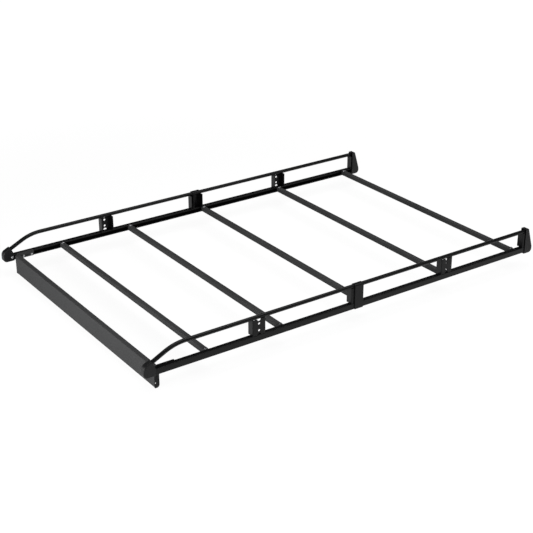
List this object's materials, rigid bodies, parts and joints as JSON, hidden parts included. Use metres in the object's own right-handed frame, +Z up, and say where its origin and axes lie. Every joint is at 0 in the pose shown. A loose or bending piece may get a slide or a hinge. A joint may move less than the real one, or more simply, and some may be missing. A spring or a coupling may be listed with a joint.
{
  "type": "roof rack",
  "caption": "Open van roof rack: lipped side rails with a raised round tube along each, square crossbars between them, moulded end caps and a folded wind deflector across the front.",
  "frame": {"origin": "on the ground plane under the middle of the rack, level with the lowest points of the deflector", "axes": "+X from the nose to the rear, +Y to the right-hand side, +Z up"},
  "size_m": [2, 1.266, 0.181],
  "materials": {
    "frame_coat": "satin black powder coat on folded sheet and tube",
    "bar_coat": "fine-textured charcoal powder coat",
    "deflector_coat": "fine-textured charcoal powder coat on sheet",
    "zinc": "bright zinc-plated bolt heads, washers and screws",
    "cap_moulding": "black moulded plastic with a light grain"
  },
  "bodies": {
    "root": {"left_front_rail": "frame_coat", "left_rear_rail": "frame_coat", "left_front_top_tube": "frame_coat", "left_rear_top_tube": "frame_coat", "left_front_upright": "frame_coat", "left_rear_upright": "frame_coat", "left_joint_post": "frame_coat", "left_joint_bracket": "frame_coat", "left_rear_post": "frame_coat", "left_joint_cover": "frame_coat", "right_front_rail": "frame_coat", "right_rear_rail": "frame_coat", "right_front_top_tube": "frame_coat", "right_rear_top_tube": "frame_coat", "right_front_upright": "frame_coat", "right_rear_upright": "frame_coat", "right_joint_post": "frame_coat", "right_joint_bracket": "frame_coat", "right_rear_post": "frame_coat", "right_joint_cover": "frame_coat", "front_crossbar": "bar_coat", "second_crossbar": "bar_coat", "middle_crossbar": "bar_coat", "fourth_crossbar": "bar_coat", "rear_crossbar": "bar_coat", "wind_deflector": "deflector_coat", "left_nose_cap": "cap_moulding", "left_rear_cap": "cap_moulding", "right_nose_cap": "cap_moulding", "right_rear_cap": "cap_moulding"}
  },
  "joints": []
}
